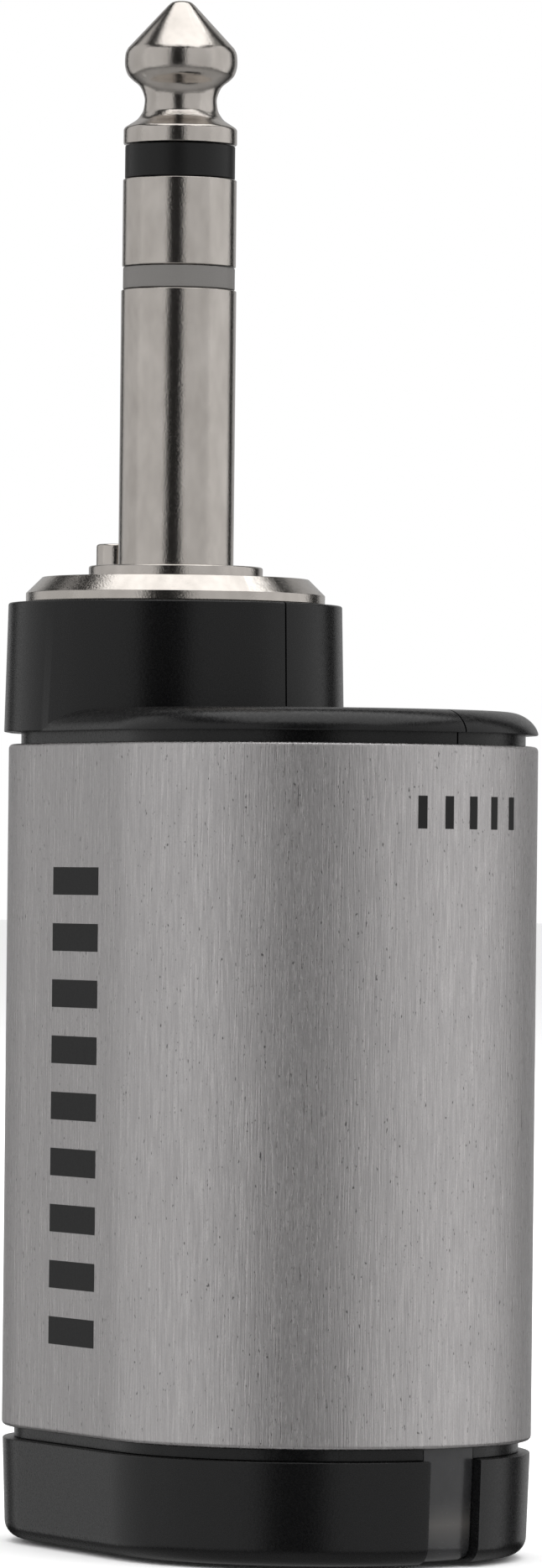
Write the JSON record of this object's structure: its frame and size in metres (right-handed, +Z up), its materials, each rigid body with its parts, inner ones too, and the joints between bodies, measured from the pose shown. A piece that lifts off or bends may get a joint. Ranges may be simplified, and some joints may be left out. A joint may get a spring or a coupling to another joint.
{
  "type": "wireless guitar transmitter",
  "caption": "Plug-in wireless guitar transmitter: jack plug on an oval body with a brushed metal sleeve, black ends and an indicator window.",
  "frame": {"origin": "centre of the base, on the underside of the bottom cap", "axes": "+Z up along the plug, the longest extent; +X along the body's long axis towards the indicator window; +Y across the body, the shortest extent"},
  "size_m": [0.0332, 0.024, 0.0848],
  "materials": {
    "nickel": "satin nickel plate",
    "brass": "machined",
    "steel": "plain",
    "brushed_metal": "brushed lengthwise, grey",
    "black_plastic": "satin black moulding",
    "collar_black": "satin",
    "collar_grey": "satin",
    "smoky_clear": "smoky translucent",
    "board": "solder mask",
    "white_plastic": "moulded",
    "red_insulation": "wire insulation",
    "cell_foil": "laminated foil",
    "foam": "foam tape"
  },
  "bodies": {
    "transmitter": {"plug_tip": "nickel", "tip_insulator": "collar_black", "plug_ring": "nickel", "ring_insulator": "collar_grey", "plug_sleeve": "nickel", "plug_washer": "nickel", "plug_nut": "brass", "ground_lug": "brass", "ring_lug": "brass", "tip_lug": "brass", "front_housing": "black_plastic", "rear_housing": "black_plastic", "housing_screw_1": "steel", "housing_screw_2": "steel", "housing_screw_3": "steel", "housing_screw_4": "steel", "metal_sleeve": "brushed_metal", "bottom_cap": "black_plastic", "light_pipe": "smoky_clear", "pin_bush": "brass", "pin_spring": "steel", "switch_body": "black_plastic", "main_board": "board", "radio_shield": "steel", "control_chip": "black_plastic", "converter_chip": "black_plastic", "status_led": "white_plastic", "battery_socket": "white_plastic", "antenna": "brass", "battery_cell": "cell_foil", "battery_pad": "foam", "ground_lead": "collar_black", "ring_lead": "white_plastic", "tip_lead": "red_insulation", "battery_lead_red": "red_insulation", "battery_lead_black": "collar_black"},
    "pin": {"sense_pin": "nickel"},
    "lever": {"switch_lever": "steel"}
  },
  "joints": [
    {"name": "pin_press", "type": "slide", "parent": "transmitter", "child": "pin", "axis": [0, 0, -1], "range_m": [0, 0.0014], "stiffness_N_per_m": 300, "springref_m": -0.00005, "deforming": ["pin_spring"]},
    {"name": "lever_tip", "type": "hinge", "parent": "transmitter", "child": "lever", "pos_m": [-0.01023, 0.00074, 0.04502], "axis": [0, -1, 0], "range_deg": [0, 29]}
  ],
  "couplings": [
    {"joint": "lever_tip", "follows": "pin_press", "rad_per_m": 357.1}
  ]
}
